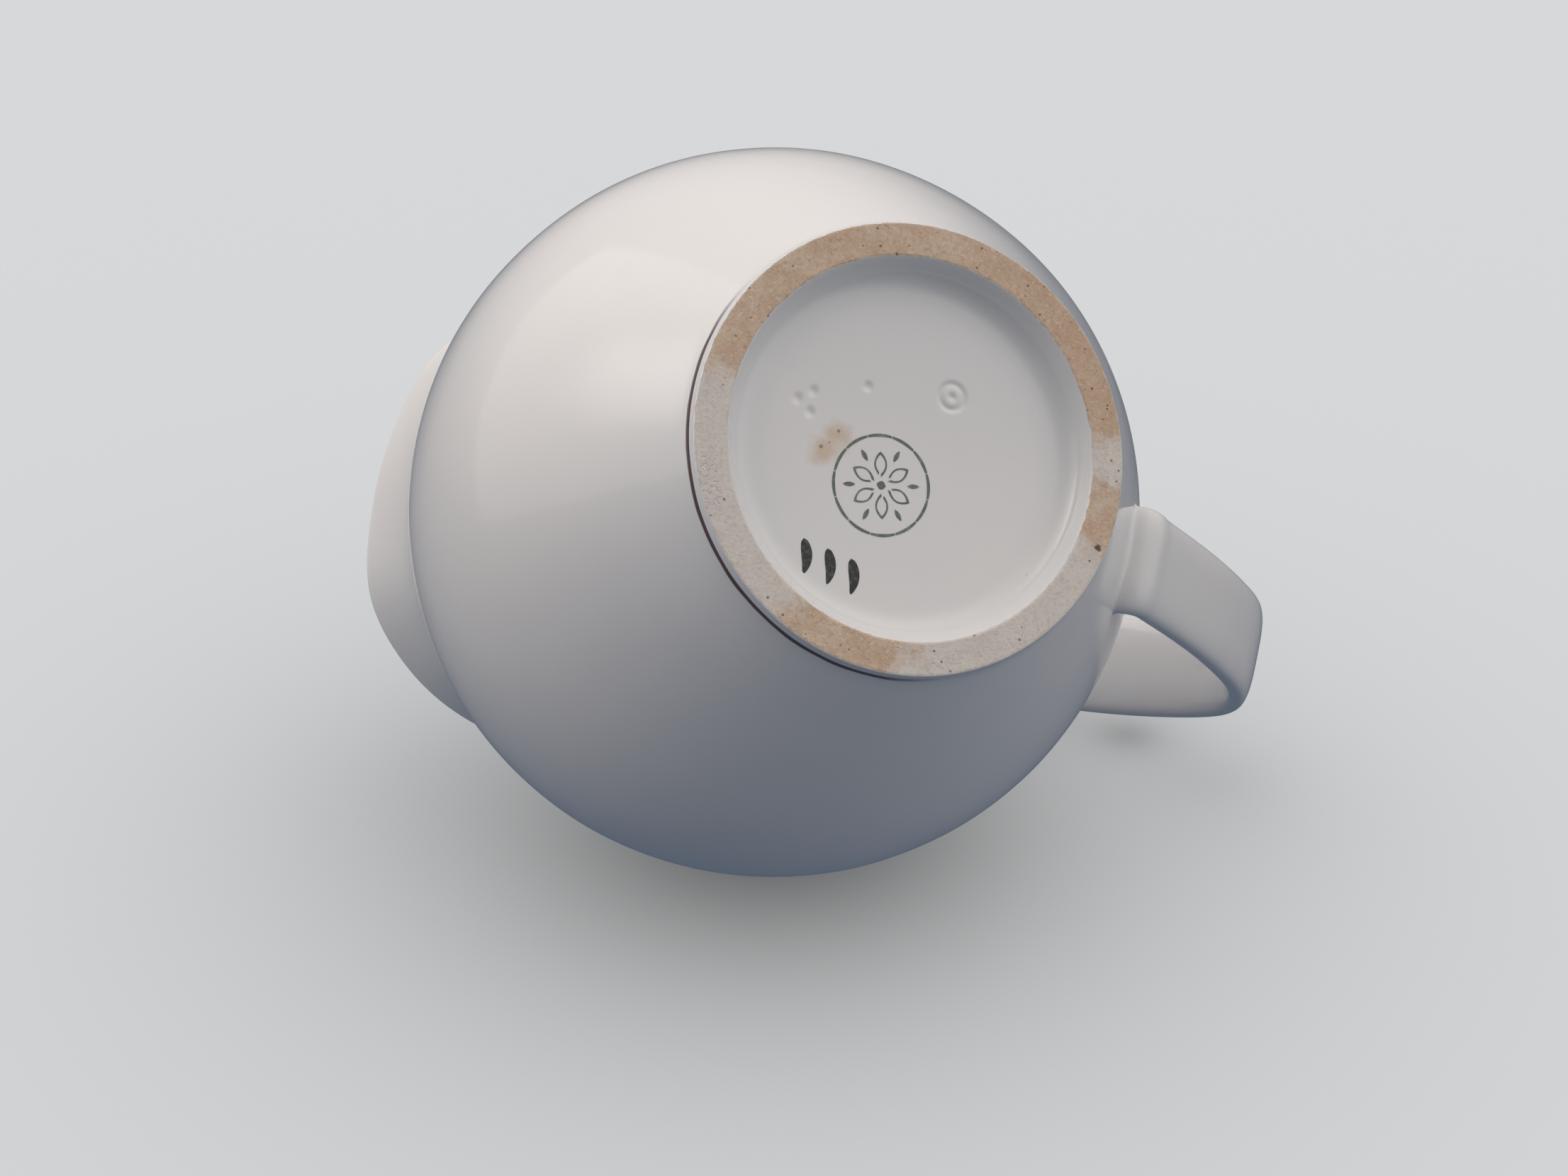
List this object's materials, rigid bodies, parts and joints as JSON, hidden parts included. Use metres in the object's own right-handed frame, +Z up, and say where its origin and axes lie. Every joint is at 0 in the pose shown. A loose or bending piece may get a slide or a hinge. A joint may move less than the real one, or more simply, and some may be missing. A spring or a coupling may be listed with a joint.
{
  "type": "cream jug",
  "caption": "Small round porcelain cream jug with a broad pouring lip, a flat strap handle and a low foot ring with an unglazed resting face.",
  "frame": {"origin": "centre of the foot ring, on the plane that the jug rests on", "axes": "+Z up along the axis of the body and foot ring, out of the mouth; +X from the axis to the handle; the pouring lip points along -X; the XZ plane is the plane of symmetry"},
  "size_m": [0.1157, 0.09, 0.0889],
  "materials": {
    "glaze": "glossy transparent glaze over white porcelain",
    "biscuit": "matt unglazed resting face, stained tan, with glazed walls"
  },
  "bodies": {
    "root": {"body": "glaze", "foot_ring": "biscuit", "handle": "glaze", "handle_lower_joint": "glaze", "handle_upper_joint": "glaze"}
  },
  "joints": []
}
